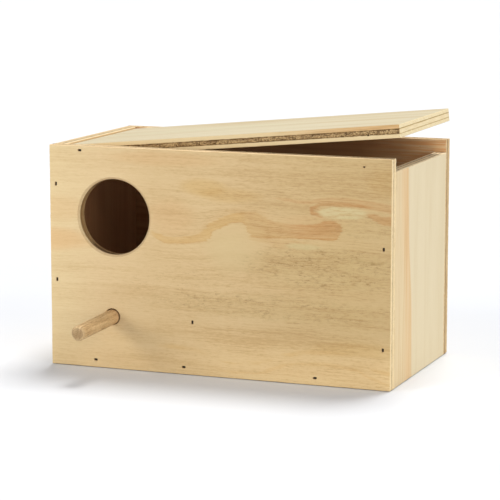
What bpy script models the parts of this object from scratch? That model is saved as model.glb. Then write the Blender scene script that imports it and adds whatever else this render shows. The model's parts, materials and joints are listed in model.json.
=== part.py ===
"""Plywood nest box (bird house) for small parrots.

Three-ply sheet throughout: full-size front and back panels are bradded over the
ends of two side panels and a floor.  A low nest divider stands inside.  The lid
lies between the front and back panels and swings up on two brads driven through
them near its left end; it is modelled standing slightly ajar.  A dowel perch sits
under the round entrance.

Frame: +X to the right along the front, -Y out of the front, +Z up.  The origin is
the centre of the box's underside.  Driving dimensions are in millimetres.
"""

import math

import bmesh
import bpy
from mathutils import Matrix, Vector

MM = 0.001

# ---- driving dimensions (mm) -------------------------------------------------
PLY = 9.5                    # three-ply sheet, 3/8 in nominal
BOX_WIDTH = 265.0            # X, outside
BOX_DEPTH = 145.0            # Y, outside
BOX_HEIGHT = 165.0           # Z, outside
JOINT_GAP = 0.3              # air left in every butt joint
ARRIS = 0.35                 # sanded edge of each panel

ENTRANCE_FROM_LEFT = 51.8    # entrance centre, from the box's left face
ENTRANCE_HEIGHT = 113.4
ENTRANCE_DIAMETER = 57.0     # 2 1/4 in

PERCH_FROM_LEFT = 49.8
PERCH_HEIGHT = 39.0
PERCH_HOLE_DIAMETER = 12.7   # 1/2 in hole
PERCH_DIAMETER = 11.1        # 7/16 in dowel
PERCH_OUTSIDE = 59.0         # from the front face to the tip
PERCH_INSIDE = 1.5           # proud of the inner face
PERCH_SEAT = 0.35            # how far the dowel lies low and to the left in its hole
PERCH_DROOP = 1.6            # degrees
PERCH_CHAMFER = 1.3

DIVIDER_FROM_LEFT = 114.0    # centre of the divider
DIVIDER_TOP = 64.5

LID_FROM_LEFT = 10.5         # closed lid's left end
LID_TO = 268.0               # closed lid's right end, which overhangs the box
LID_SIDE_GAP = 0.7
LID_SEAT = 0.4               # air between the closed lid and the right panel
PIVOT_FROM_LEFT = 24.7
PIVOT_HEIGHT = 161.7
PIVOT_BELOW_TOP = 3.5        # pivot axis below the lid's upper face
PIVOT_BORE = 2.0
LID_AJAR = 5.57              # degrees, as modelled

RIGHT_PANEL_TOP = PIVOT_HEIGHT + PIVOT_BELOW_TOP - PLY - LID_SEAT

BRAD_LENGTH = 25.0           # 18-gauge brad
BRAD_SUNK = 0.8              # head below the surface
BRAD_HEAD = 2.2
BRAD_SHANK = 1.2
BRAD_THICK = 1.0
BRAD_CLEAR = 0.2             # air round a brad
LOCK_HOLE_FROM_LEFT = 244.4  # empty hole of the brad that pinned the shut lid
LOCK_HOLE_HEIGHT = 159.0

# Brads: name -> (from left, height, turned).  A turned brad's head lies upright.
FRONT_BRADS = {
    "front_brad_left_upper": (5.0, 136.0, True),
    "front_brad_left_lower": (5.0, 64.3, True),
    "front_brad_right_upper": (259.3, 101.3, True),
    "front_brad_right_lower": (259.3, 29.3, True),
    "front_brad_floor_left": (36.0, 5.6, False),
    "front_brad_floor_middle": (106.8, 5.3, False),
    "front_brad_floor_right": (208.6, 5.2, False),
    "front_brad_divider": (113.8, 39.2, True),
    "front_pivot_brad": (PIVOT_FROM_LEFT, PIVOT_HEIGHT, False),
}
BACK_BRADS = {
    "back_brad_left_upper": (5.2, 131.0, True),
    "back_brad_left_lower": (5.2, 46.0, True),
    "back_brad_right_upper": (259.6, 118.0, True),
    "back_brad_right_lower": (259.6, 37.0, True),
    "back_brad_floor_left": (44.0, 5.0, False),
    "back_brad_floor_middle": (139.0, 5.4, False),
    "back_brad_floor_right": (221.0, 5.1, False),
    "back_brad_divider": (114.2, 33.0, True),
    "back_pivot_brad": (PIVOT_FROM_LEFT, PIVOT_HEIGHT, False),
}

LEFT = -BOX_WIDTH / 2
RIGHT = BOX_WIDTH / 2
FRONT = -BOX_DEPTH / 2
BACK = BOX_DEPTH / 2

# ---- scene -------------------------------------------------------------------
for old in list(bpy.data.objects):
    bpy.data.objects.remove(old, do_unlink=True)

PARTS = bpy.data.collections.new("nest_box")
CUTTERS = bpy.data.collections.new("cutters")
bpy.context.scene.collection.children.link(PARTS)
bpy.context.scene.collection.children.link(CUTTERS)


def material(name, colour, roughness, metallic=0.0):
    mat = bpy.data.materials.new(name)
    mat.use_nodes = True
    bsdf = mat.node_tree.nodes["Principled BSDF"]
    bsdf.inputs["Base Color"].default_value = (*colour, 1.0)
    bsdf.inputs["Roughness"].default_value = roughness
    bsdf.inputs["Metallic"].default_value = metallic
    mat.diffuse_color = (*colour, 1.0)
    return mat


def adopt(obj, collection):
    for other in list(obj.users_collection):
        other.objects.unlink(obj)
    collection.objects.link(obj)
    return obj


def panel(name, x0, x1, y0, y1, z0, z1, colour, roughness=0.6):
    """A sheet-material panel between two corners (mm), with sanded arrises."""
    bpy.ops.mesh.primitive_cube_add(size=1.0)
    obj = bpy.context.active_object
    obj.name = name
    obj.data.name = name
    size = Vector((x1 - x0, y1 - y0, z1 - z0)) * MM
    obj.data.transform(Matrix.Diagonal((*size, 1.0)))
    obj.location = Vector(((x0 + x1) / 2, (y0 + y1) / 2, (z0 + z1) / 2)) * MM
    bevel = obj.modifiers.new("arris", "BEVEL")
    bevel.width = ARRIS * MM
    bevel.segments = 2
    bevel.limit_method = "ANGLE"
    obj.data.materials.append(material(name, colour, roughness))
    return adopt(obj, PARTS)


def brad_mesh(name, grow, above, tip_extra=0.0):
    """A brad as a flat T outline with a chisel tip, given its thickness.

    Local +Y runs from the head to the tip, X across the head, and Z through the
    thickness.  With grow and above it is the hole's cutter instead.
    """
    head, shank = BRAD_HEAD / 2 + grow, BRAD_SHANK / 2 + grow
    end = BRAD_LENGTH + grow + tip_extra
    outline = [
        (-head, -above), (head, -above), (head, 0.8 + grow),
        (shank, 1.3 + grow), (shank, end - 1.5), (0.0, end),
        (-shank, end - 1.5), (-shank, 1.3 + grow), (-head, 0.8 + grow),
    ]
    curve = bpy.data.curves.new(name, "CURVE")
    curve.dimensions = "2D"
    curve.fill_mode = "BOTH"
    curve.extrude = (BRAD_THICK / 2 + grow) * MM
    spline = curve.splines.new("POLY")
    spline.points.add(len(outline) - 1)
    for point, (x, y) in zip(spline.points, outline):
        point.co = (x * MM, y * MM, 0.0, 1.0)
    spline.use_cyclic_u = True
    holder = bpy.data.objects.new(name, curve)
    bpy.context.scene.collection.objects.link(holder)
    graph = bpy.context.evaluated_depsgraph_get()
    mesh = bpy.data.meshes.new_from_object(holder.evaluated_get(graph))
    bpy.data.objects.remove(holder, do_unlink=True)
    bpy.data.curves.remove(curve)
    work = bmesh.new()
    work.from_mesh(mesh)
    bmesh.ops.remove_doubles(work, verts=work.verts, dist=1e-6)
    bmesh.ops.recalc_face_normals(work, faces=work.faces)
    work.to_mesh(mesh)
    work.free()
    mesh.name = name
    return mesh


def brad_matrix(x, z, turned, back):
    """Place a brad's head centre on the front or the back of the box."""
    turn = Matrix.Rotation(math.radians(90), 4, "Y") if turned else Matrix.Identity(4)
    if back:
        return (Matrix.Translation(Vector((LEFT + x, BACK - BRAD_SUNK, z)) * MM)
                @ Matrix.Rotation(math.radians(180), 4, "Z") @ turn)
    return Matrix.Translation(Vector((LEFT + x, FRONT + BRAD_SUNK, z)) * MM) @ turn


def cylinder_into(work, radius, length, centre, axis, sides):
    """Add a closed cylinder (mm) to a bmesh, its length along a world axis."""
    turn = {"X": Matrix.Rotation(math.radians(90), 4, "Y"),
            "Y": Matrix.Rotation(math.radians(90), 4, "X"),
            "Z": Matrix.Identity(4)}[axis]
    bmesh.ops.create_cone(
        work, cap_ends=True, cap_tris=False, segments=sides,
        radius1=radius * MM, radius2=radius * MM, depth=length * MM,
        matrix=Matrix.Translation(Vector(centre) * MM) @ turn)


def cut(obj, work, name):
    """Subtract everything in a bmesh from a part."""
    bmesh.ops.recalc_face_normals(work, faces=work.faces)
    mesh = bpy.data.meshes.new(name)
    work.to_mesh(mesh)
    work.free()
    cutter = bpy.data.objects.new(name, mesh)
    CUTTERS.objects.link(cutter)
    cutter.hide_render = True
    cutter.display_type = "WIRE"
    boolean = obj.modifiers.new(name, "BOOLEAN")
    boolean.operation = "DIFFERENCE"
    boolean.solver = "EXACT"
    boolean.object = cutter
    return cutter


def add_mesh(work, mesh, matrix):
    """Add a moved copy of a mesh to a bmesh."""
    copy = mesh.copy()
    copy.transform(matrix)
    work.from_mesh(copy)
    bpy.data.meshes.remove(copy)


# ---- panels ------------------------------------------------------------------
INNER_FRONT = FRONT + PLY
INNER_BACK = BACK - PLY
INNER_LEFT = LEFT + PLY
INNER_RIGHT = RIGHT - PLY
END_FRONT = INNER_FRONT + JOINT_GAP
END_BACK = INNER_BACK - JOINT_GAP

front = panel("front_panel", LEFT, RIGHT, FRONT, INNER_FRONT, 0, BOX_HEIGHT,
              (0.68, 0.51, 0.28))
back = panel("back_panel", LEFT, RIGHT, INNER_BACK, BACK, 0, BOX_HEIGHT,
             (0.66, 0.49, 0.28))
left = panel("left_side_panel", LEFT, INNER_LEFT, END_FRONT, END_BACK, 0, BOX_HEIGHT,
             (0.72, 0.56, 0.34))
right = panel("right_side_panel", INNER_RIGHT, RIGHT, END_FRONT, END_BACK, 0,
              RIGHT_PANEL_TOP, (0.80, 0.65, 0.42))
floor = panel("floor_panel", INNER_LEFT + JOINT_GAP, INNER_RIGHT - JOINT_GAP,
              END_FRONT, END_BACK, 0, PLY, (0.70, 0.54, 0.32))
divider = panel("nest_divider", LEFT + DIVIDER_FROM_LEFT - PLY / 2,
                LEFT + DIVIDER_FROM_LEFT + PLY / 2, END_FRONT, END_BACK,
                PLY + JOINT_GAP, DIVIDER_TOP, (0.70, 0.54, 0.32))

# The lid's origin is on its pivot axis: it hangs on an empty that sets the angle.
PIVOT = Vector((LEFT + PIVOT_FROM_LEFT, 0.0, PIVOT_HEIGHT))
lid = panel("lid",
            LEFT + LID_FROM_LEFT - PIVOT.x, LEFT + LID_TO - PIVOT.x,
            INNER_FRONT + LID_SIDE_GAP, INNER_BACK - LID_SIDE_GAP,
            PIVOT_BELOW_TOP - PLY, PIVOT_BELOW_TOP, (0.80, 0.68, 0.46))
lid.data.transform(Matrix.Translation(lid.location))
lid.location = (0.0, 0.0, 0.0)
lid_pivot = bpy.data.objects.new("lid_pivot", None)
lid_pivot.location = PIVOT * MM
lid_pivot.rotation_euler = (0.0, -math.radians(LID_AJAR), 0.0)
PARTS.objects.link(lid_pivot)
lid.parent = lid_pivot

# ---- holes -------------------------------------------------------------------
hole_mesh = brad_mesh("brad_hole", BRAD_CLEAR, 4.0)

work = bmesh.new()
cylinder_into(work, ENTRANCE_DIAMETER / 2, PLY + 8,
              (LEFT + ENTRANCE_FROM_LEFT, FRONT + PLY / 2, ENTRANCE_HEIGHT), "Y", 96)
cylinder_into(work, PERCH_HOLE_DIAMETER / 2, PLY + 8,
              (LEFT + PERCH_FROM_LEFT, FRONT + PLY / 2, PERCH_HEIGHT), "Y", 48)
for x, z, turned in FRONT_BRADS.values():
    add_mesh(work, hole_mesh, brad_matrix(x, z, turned, False))
add_mesh(work, hole_mesh, brad_matrix(LOCK_HOLE_FROM_LEFT, LOCK_HOLE_HEIGHT, False, False))
cut(front, work, "front_holes")

work = bmesh.new()
for x, z, turned in BACK_BRADS.values():
    add_mesh(work, hole_mesh, brad_matrix(x, z, turned, True))
add_mesh(work, hole_mesh, brad_matrix(LOCK_HOLE_FROM_LEFT, LOCK_HOLE_HEIGHT, False, True))
cut(back, work, "back_holes")

INTO = {"left": left, "right": right, "floor": floor, "divider": divider}
for key, obj in INTO.items():
    work = bmesh.new()
    for brads, behind in ((FRONT_BRADS, False), (BACK_BRADS, True)):
        for name, (x, z, turned) in brads.items():
            if "_brad_" + key in name:
                add_mesh(work, hole_mesh, brad_matrix(x, z, turned, behind))
    cut(obj, work, key + "_brad_holes")

# Pivot bores, and the two holes that the lock brads left, all in the lid's own frame.
work = bmesh.new()
LID_FRONT = INNER_FRONT + LID_SIDE_GAP
LID_BACK = INNER_BACK - LID_SIDE_GAP
BORE_DEPTH = FRONT + BRAD_SUNK + BRAD_LENGTH + 1.0 - LID_FRONT
for edge, side in ((LID_FRONT, 1), (LID_BACK, -1)):
    cylinder_into(work, PIVOT_BORE / 2, BORE_DEPTH + 4,
                  (0.0, edge + side * (BORE_DEPTH - 4) / 2, 0.0), "Y", 24)
to_lid = Matrix.Translation(-PIVOT * MM)
for behind in (False, True):
    add_mesh(work, hole_mesh,
             to_lid @ brad_matrix(LOCK_HOLE_FROM_LEFT, LOCK_HOLE_HEIGHT, False, behind))
lid_cutter = cut(lid, work, "lid_holes")
lid_cutter.parent = lid_pivot

# ---- brads -------------------------------------------------------------------
brad = brad_mesh("brad", 0.0, 0.0)
for brads, behind in ((FRONT_BRADS, False), (BACK_BRADS, True)):
    for name, (x, z, turned) in brads.items():
        obj = bpy.data.objects.new(name, brad.copy())
        obj.data.name = name
        obj.matrix_world = brad_matrix(x, z, turned, behind)
        obj.data.materials.append(material(name, (0.10, 0.09, 0.08), 0.45, 0.9))
        PARTS.objects.link(obj)

# ---- perch -------------------------------------------------------------------
# A turned profile about local Z, from the inner end up to the chamfered tip.
PERCH_LENGTH = PERCH_OUTSIDE + PLY + PERCH_INSIDE
radius = PERCH_DIAMETER / 2
profile = [
    (0.0, PERCH_LENGTH),
    (radius - PERCH_CHAMFER, PERCH_LENGTH),
    (radius - 0.4, PERCH_LENGTH - 0.7),
    (radius, PERCH_LENGTH - PERCH_CHAMFER - 0.6),
    (radius, 0.5),
    (radius - 0.5, 0.0),
    (0.0, 0.0),
]
mesh = bpy.data.meshes.new("perch_dowel")
mesh.from_pydata([(r * MM, 0.0, z * MM) for r, z in profile],
                 [(i, i + 1) for i in range(len(profile) - 1)], [])
perch = bpy.data.objects.new("perch_dowel", mesh)
PARTS.objects.link(perch)
screw = perch.modifiers.new("turn", "SCREW")
screw.steps = screw.render_steps = 48
screw.angle = math.radians(360)
screw.use_merge_vertices = True
screw.merge_threshold = 1e-6
screw.use_smooth_shade = True
perch.data.materials.append(material("perch_dowel", (0.42, 0.28, 0.15), 0.55))
# The dowel lies low and to the left in its hole and droops a little.
seat = Vector((LEFT + PERCH_FROM_LEFT - PERCH_SEAT, FRONT, PERCH_HEIGHT - PERCH_SEAT))
perch.matrix_world = (
    Matrix.Translation(seat * MM)
    @ Matrix.Rotation(math.radians(90 + PERCH_DROOP), 4, "X")
    @ Matrix.Translation(Vector((0, 0, -(PLY + PERCH_INSIDE) * MM))))
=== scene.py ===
"""Looks of the plywood nest box.

Each plywood panel is rebuilt as a detailed mesh: sanded arrises, three plies with
glue lines, torn end grain along the sawn edges, ragged bored holes and brad slots.
The materials are procedural: bare pine plywood with its own figure on each face,
a turned hardwood perch and dark steel brads.

A panel's mesh is made in its own frame, in metres: x runs along the face grain, y
across it, and z out through the thickness, so a material can use object coordinates.
"""

import json
import math

import bmesh
import bpy
import numpy as np
from mathutils import Matrix, Vector
from mathutils.geometry import delaunay_2d_cdt


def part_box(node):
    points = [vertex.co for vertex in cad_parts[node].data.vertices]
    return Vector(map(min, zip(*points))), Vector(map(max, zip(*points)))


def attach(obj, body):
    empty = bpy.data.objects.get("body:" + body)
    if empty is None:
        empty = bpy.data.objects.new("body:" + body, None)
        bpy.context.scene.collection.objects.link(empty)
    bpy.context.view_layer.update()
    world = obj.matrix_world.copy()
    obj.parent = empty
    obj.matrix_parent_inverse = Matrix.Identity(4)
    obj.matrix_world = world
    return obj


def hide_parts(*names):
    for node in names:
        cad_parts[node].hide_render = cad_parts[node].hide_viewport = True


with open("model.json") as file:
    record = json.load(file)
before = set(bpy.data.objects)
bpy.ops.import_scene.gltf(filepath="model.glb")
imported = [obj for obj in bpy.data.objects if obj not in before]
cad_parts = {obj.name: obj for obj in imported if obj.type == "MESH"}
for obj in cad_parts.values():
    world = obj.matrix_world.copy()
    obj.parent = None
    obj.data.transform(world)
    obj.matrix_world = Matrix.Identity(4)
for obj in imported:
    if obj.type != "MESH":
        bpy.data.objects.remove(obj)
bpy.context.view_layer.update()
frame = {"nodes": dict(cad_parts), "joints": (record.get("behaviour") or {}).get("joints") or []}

MM = 0.001
PLY = 9.5                 # panel thickness
CORE = 1.78               # half the core's thickness
ARRIS = 0.34
BRAD_SUNK = 0.8
BRAD_LENGTH = 25.0

scene = bpy.context.scene


def lin(r, g, b):
    """A display colour, 0 to 255, as scene-linear values."""
    out = []
    for c in (r, g, b):
        c /= 255.0
        out.append(c / 12.92 if c <= 0.04045 else ((c + 0.055) / 1.055) ** 2.4)
    return (*out, 1.0)


# ---- value noise for the meshes ---------------------------------------------
def _hash(ix, iy, seed):
    with np.errstate(over="ignore"):
        h = (ix.astype(np.int64) * 374761393 + iy.astype(np.int64) * 668265263
             + seed * 1274126177) & 0xFFFFFFFF
        h = ((h ^ (h >> 13)) * 1274126177) & 0xFFFFFFFF
        h = ((h ^ (h >> 15)) * 2246822519) & 0xFFFFFFFF
    return ((h ^ (h >> 16)) & 0xFFFF) / 65535.0


def vnoise(x, y, seed, octaves=1):
    """Smooth value noise, 0 to 1, on a lattice of pitch 1."""
    total, gain, amount = 0.0, 1.0, 0.0
    x, y = np.broadcast_arrays(np.asarray(x, float), np.asarray(y, float))
    for octave in range(octaves):
        fx, fy = np.floor(x), np.floor(y)
        tx, ty = x - fx, y - fy
        tx, ty = tx * tx * (3 - 2 * tx), ty * ty * (3 - 2 * ty)
        s = seed + 101 * octave
        a = _hash(fx, fy, s) * (1 - tx) + _hash(fx + 1, fy, s) * tx
        b = _hash(fx, fy + 1, s) * (1 - tx) + _hash(fx + 1, fy + 1, s) * tx
        total = total + gain * (a * (1 - ty) + b * ty)
        amount += gain
        gain *= 0.5
        x, y = x * 2.03 + 17.1, y * 2.03 + 5.7
    return total / amount


def ramp01(x, a, b):
    t = np.clip((x - a) / (b - a), 0, 1)
    return t * t * (3 - 2 * t)


# ---- panel meshes ------------------------------------------------------------
HALF = PLY / 2
ROWS = np.array([HALF, HALF - 0.07, HALF - 0.18, HALF - 0.36, HALF - 0.75, 3.45, 2.9,
                 2.4, 2.05, 1.86, 1.74, 1.6, 1.25, 0.85, 0.42])
ROWS = np.concatenate([-ROWS, [0.0], ROWS[::-1]])


def rounded_rectangle(width, height, step, radius=0.35):
    """Counter-clockwise points, and the outward normal at each one."""
    x, y = width / 2, height / 2
    points, normals = [], []
    corners = [((x, -y), -90), ((x, y), 0), ((-x, y), 90), ((-x, -y), 180)]
    starts = [(-x + radius, -y), (x, -y + radius), (x - radius, y), (-x, y - radius)]
    ends = [(x - radius, -y), (x, y - radius), (-x + radius, y), (-x, -y + radius)]
    out = [(0, -1), (1, 0), (0, 1), (-1, 0)]
    for side in range(4):
        a, b = np.array(starts[side]), np.array(ends[side])
        n = max(2, int(round(np.linalg.norm(b - a) / step)))
        for i in range(n):
            points.append(a + (b - a) * i / n)
            normals.append(out[side])
        (cx, cy), turn = corners[side]
        centre = np.array([cx - math.copysign(radius, cx), cy - math.copysign(radius, cy)])
        for part in range(0, 3):
            angle = math.radians(turn + part * 30)
            way = np.array([math.cos(angle), math.sin(angle)])
            points.append(centre + way * radius)
            normals.append(way)
    return np.array(points), np.array(normals, float)


class Hole:
    """A hole through a panel: a clockwise loop whose shape may change with depth."""

    def __init__(self, loop_at, centre, reach, kind):
        self.loop_at, self.centre, self.reach, self.kind = loop_at, np.array(centre), reach, kind


def bored(cx, cy, diameter, seed, step=0.6, tear=0.35, eased=0.0):
    """A bored hole, its wall a little ragged and its rims broken out."""
    n = max(24, int(math.pi * diameter / step))
    angle = -np.arange(n) * 2 * math.pi / n

    def loop_at(w):
        depth = HALF - abs(w)
        base = diameter / 2
        # fibres torn where the cutter met them across the grain, above and below
        across = np.abs(np.sin(angle)) ** 2
        rim = np.exp(-depth / 0.3)
        rag = vnoise(angle * base / 0.9, w * 0.7 + 40, seed, 2)
        chip = ramp01(vnoise(angle * base / 2.3, 3.1, seed + 5, 2), 0.56, 0.8)
        grow = 0.30 * rim + tear * rim * rag + 0.9 * tear * chip * np.exp(-depth / 0.55)
        core = 1 - ramp01(np.abs(w) + 0 * angle, CORE - 0.1, CORE + 0.1)
        grow = grow + core * (0.05 + 0.30 * across * ramp01(
            vnoise(angle * base / 0.8, w / 0.6 + 9, seed + 11, 2), 0.48, 0.8))
        grow = grow + 0.05 * vnoise(angle * base / 1.3, w / 1.5, seed + 3)
        grow = grow + 0.10 * np.exp(-((abs(w) - CORE) / 0.12) ** 2)
        if eased:
            worn = 1.2 * ramp01(eased - depth, 0.0, eased) if w > 0 else 0.0
            grow = grow - 0.5 + worn * (0.8 + 0.4 * vnoise(angle * base / 2.0, 7.7, seed + 21, 2))
        r = base + grow
        pit = core * across * ramp01(vnoise(angle * base / 0.8, w / 0.6 + 9, seed + 11, 2), 0.52, 0.72)
        pit = np.maximum(pit, 0.7 * chip * rim)
        start = 1.1 if eased else 0.6
        burnish_and_shade = ramp01(depth, start, start + 0.8) if w > 0 else 1.0   # the cutter's burnish, and painted shade on the bore's wall
        if eased and w > 0 and depth < eased:
            pit = 0.24 + 0.22 * vnoise(angle * base / 1.7, depth * 3.0, seed + 31, 2)
        pit = np.maximum(pit, 0.92 * burnish_and_shade)
        return np.stack([cx + r * np.cos(angle), cy + r * np.sin(angle)], 1), pit

    return Hole(loop_at, (cx, cy), diameter / 2 + 1.5, "bore")


def brad_slot(cx, cy, turned, outer, seed, shut=1.0):
    """The slot that a sunk brad leaves: wide for its head, then the shank's width."""
    corners = [(-1, -1), (-1, 1), (1, 1), (1, -1)]
    outline = []
    for a, b in zip(corners, corners[1:] + corners[:1]):
        for k in range(4):
            outline.append((a[0] + (b[0] - a[0]) * k / 4, a[1] + (b[1] - a[1]) * k / 4))
    outline = np.array(outline)

    def loop_at(w):
        depth = HALF - outer * w
        half = 1.3 if depth < 2.3 else 0.8
        thick = 0.7
        crush = math.exp(-max(depth, 0) / 0.22)
        rag = vnoise(np.arange(len(outline)) * 0.9, seed * 3.7 + depth * 0.4, seed, 2)
        pts = outline * np.array([half + 0.22 * crush, thick + 0.28 * crush])
        squeeze = shut * (0.5 if shut < 1 and depth > 7.5 else 1.0)
        pts = pts * (squeeze * (1 + 0.22 * (rag - 0.5) * (0.3 + crush)))[:, None]
        # the corners are rounded by the crushed fibres
        corner = (np.abs(outline[:, 0]) > 0.9) & (np.abs(outline[:, 1]) > 0.9)
        pts[corner] *= 0.86
        if turned:
            pts = np.stack([pts[:, 1], -pts[:, 0]], 1)
        # the slot's walls are painted darker with depth: painted shade in the slot
        return pts + np.array([cx, cy]), np.full(len(outline), min(1.0, 0.55 + 0.8 * depth))

    return Hole(loop_at, (cx, cy), 1.6, "slot")


def panel_mesh(name, width, height, holes=(), step=1.0, seed=1, rough_v=0.75, rough_u=0.3):
    """A plywood panel, width along the face grain and height across it (mm).

    Returns a mesh whose pit attribute is the depth of torn grain, 0 to 1, and on the walls of bores and brad slots also
    their painted shade.
    rough_v is the deepest tear in the core where the sawn edge crosses its grain.
    """
    base, normal = rounded_rectangle(width, height, step)
    n, rows = len(base), len(ROWS)
    along = np.concatenate([[0], np.cumsum(np.linalg.norm(np.diff(base, axis=0), axis=1))])
    on_v = np.abs(normal[:, 1]) > 0.9            # edges parallel to the face grain
    verts, pits = [], []
    for w in ROWS:
        depth = HALF - abs(w)
        wide = ARRIS * (0.55 + 0.9 * vnoise(along / 7.0, 1.5 if w > 0 else 8.5, seed, 2))
        arris = wide * np.clip(1 - depth / np.maximum(wide, 0.05), 0, 1) ** 1.6
        core = 1 - ramp01(np.full(n, abs(w)), CORE - 0.05, CORE + 0.08)
        # end grain of the core: crumbs torn out, most of them beside the glue lines
        fine = vnoise(along / 0.75, w / 0.55 + 30, seed + 7, 2)
        patch = vnoise(along / 9.0, w / 3.0 + 3, seed + 9, 2)
        beside = np.exp(-((abs(w) - 1.45) / 0.42) ** 2)
        torn = ramp01(fine + 0.30 * (patch - 0.5) + 0.10 * beside, 0.50, 0.82)
        end_tear = core * torn * rough_v
        # long grain of the core, and end grain of the veneers
        sliver = ramp01(vnoise(along / 11.0, w / 0.35 + 60, seed + 13, 2), 0.62, 0.85)
        long_tear = core * sliver * rough_u * 0.5
        veneer = (1 - core) * ramp01(vnoise(along / 0.8, w / 0.9 + 80, seed + 17, 2), 0.55, 0.9)
        veneer_u = veneer * rough_u * 0.45
        veneer_v = (1 - core) * 0.10 * ramp01(vnoise(along / 14.0, w / 0.3 + 50, seed + 19, 2), 0.55, 0.85)
        glue = 0.12 * np.exp(-((abs(w) - CORE) / 0.10) ** 2) * vnoise(along / 2.0, 4 + w, seed + 23)
        saw = 0.04 * vnoise(along / 30.0, 0.3, seed + 29)
        inward = arris + glue + saw + np.where(on_v, end_tear + veneer_v, long_tear + veneer_u)
        nick = ramp01(vnoise(along / 3.5, 7.7 if w > 0 else 2.2, seed + 31, 2), 0.74, 0.9)
        inward = inward + nick * 0.35 * math.exp(-depth / 0.35)
        xy = base - normal * inward[:, None]
        verts.append(np.column_stack([xy, np.full(n, w)]))
        pits.append((depth > 0.01) * (
            np.where(on_v, core * torn * ramp01(np.full(n, rough_v), 0.0, 0.5), 0.5 * core * sliver)
            + 0.3 * nick * math.exp(-depth / 0.35)))
    faces, smooth = [], []
    index = np.arange(rows * n).reshape(rows, n)
    a, b = index[:-1], np.roll(index, -1, axis=1)[:-1]
    c, d = np.roll(index, -1, axis=1)[1:], index[1:]
    quads = [np.stack([a, b, c, d], -1).reshape(-1, 4)]
    loops = [(index[0], index[-1])]
    count = rows * n
    for hole in holes:
        rings = []
        for w in ROWS:
            xy, pit = hole.loop_at(w)
            verts.append(np.column_stack([xy, np.full(len(xy), w)]))
            pits.append(pit * (HALF - abs(w) > 0.01))     # not on the rows the flat faces share
            rings.append(len(xy))
        k = rings[0]
        index = count + np.arange(rows * k).reshape(rows, k)
        a, b = index[:-1], np.roll(index, -1, axis=1)[:-1]
        c, d = np.roll(index, -1, axis=1)[1:], index[1:]
        quads.append(np.stack([a, b, c, d], -1).reshape(-1, 4))
        loops.append((index[0], index[-1]))
        count += rows * k
    verts, pits = np.concatenate(verts), np.concatenate(pits)
    quads = np.concatenate(quads)

    # inner points of the two faces, kept clear of every loop
    pitch = 6.0
    gx = np.arange(-width / 2 + 3, width / 2 - 2, pitch)
    gy = np.arange(-height / 2 + 3, height / 2 - 2, pitch)
    grid = np.stack(np.meshgrid(gx, gy), -1).reshape(-1, 2)
    grid[:, 0] += 1.3 * (vnoise(grid[:, 0] * 0.37, grid[:, 1] * 0.41, seed + 37) - 0.5)
    grid[:, 1] += 1.3 * (vnoise(grid[:, 0] * 0.43, grid[:, 1] * 0.33, seed + 41) - 0.5)
    keep = np.ones(len(grid), bool)
    for hole in holes:
        keep &= np.linalg.norm(grid - hole.centre, axis=1) > hole.reach + 1.6
    grid = grid[keep]
    extra, triangles = [], []
    for side in (0, -1):
        ids = [loop[side] for loop in loops]
        flat = np.concatenate(ids)
        points = [Vector(p) for p in verts[flat][:, :2]] + [Vector(p) for p in grid]
        edges, start = [], 0
        for loop in ids:
            k = len(loop)
            edges += [(start + i, start + (i + 1) % k) for i in range(k)]
            start += k
        found, _, tris, origin, _, _ = delaunay_2d_cdt(points, edges, [], 0, 1e-7)
        names = {}
        for i, ids_in in enumerate(origin):
            if ids_in and ids_in[0] < len(flat):
                names[i] = int(flat[ids_in[0]])
            else:
                names[i] = len(verts) + len(extra)
                extra.append((found[i].x, found[i].y, ROWS[side]))
        polygons = [verts[loop][:, :2] for loop in ids]
        for tri in tris:
            centre = sum((np.array(found[i]) for i in tri), np.zeros(2)) / len(tri)
            if not inside(centre, polygons[0]):
                continue
            near = [j for j, hole in enumerate(holes)
                    if np.linalg.norm(centre - hole.centre) < hole.reach + 0.5]
            if any(inside(centre, polygons[j + 1]) for j in near):
                continue
            ids3 = [names[i] for i in tri]
            triangles.append(ids3 if side == -1 else ids3[::-1])
    if extra:
        verts = np.concatenate([verts, np.array(extra)])
        pits = np.concatenate([pits, np.zeros(len(extra))])
    mesh = bpy.data.meshes.new(name)
    mesh.from_pydata((verts * MM).tolist(), [], quads.tolist() + triangles)
    mesh.validate()
    layer = mesh.attributes.new("pit", "FLOAT", "POINT")
    layer.data.foreach_set("value", np.clip(pits, 0, 1).astype(np.float32))
    flags = np.zeros(len(mesh.polygons), bool)
    flags[:len(quads)] = True
    mesh.polygons.foreach_set("use_smooth", flags)
    mesh.update()
    return mesh


def inside(p, polygon):
    x, y = p
    xs, ys = polygon[:, 0], polygon[:, 1]
    xn, yn = np.roll(xs, -1), np.roll(ys, -1)
    crosses = (ys > y) != (yn > y)
    if not crosses.any():
        return False
    at = xs[crosses] + (y - ys[crosses]) * (xn - xs)[crosses] / (yn - ys)[crosses]
    return bool((at > x).sum() % 2)


# ---- where the panels stand, from the frame ----------------------------------
def axes(u, v, w, centre):
    m = Matrix.Identity(4)
    for column, axis in enumerate((u, v, w)):
        for row in range(3):
            m[row][column] = axis[row]
    m.translation = centre
    return m


def centre_of(node):
    lo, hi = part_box(node)
    return (lo + hi) / 2, (hi - lo) * 1000


def brad_names(body_part):
    return [n for n in frame["nodes"] if "_brad_" + body_part in n]


def brad_at(node):
    """Centre of a brad's head (x, z in mm), whether it is upright, and if it is behind."""
    lo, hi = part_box(node)
    size = (hi - lo) * 1000
    middle = (lo + hi) / 2 * 1000
    return middle.x, middle.z, size.z > size.x, node.startswith("back")


LOCK_X, LOCK_Z = 111.9, 159.0      # the empty holes of the brad that pinned the lid

front_c, front_s = centre_of("front_panel")
back_c, back_s = centre_of("back_panel")
left_c, left_s = centre_of("left_side_panel")
right_c, right_s = centre_of("right_side_panel")
floor_c, floor_s = centre_of("floor_panel")
div_c, div_s = centre_of("nest_divider")

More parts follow.
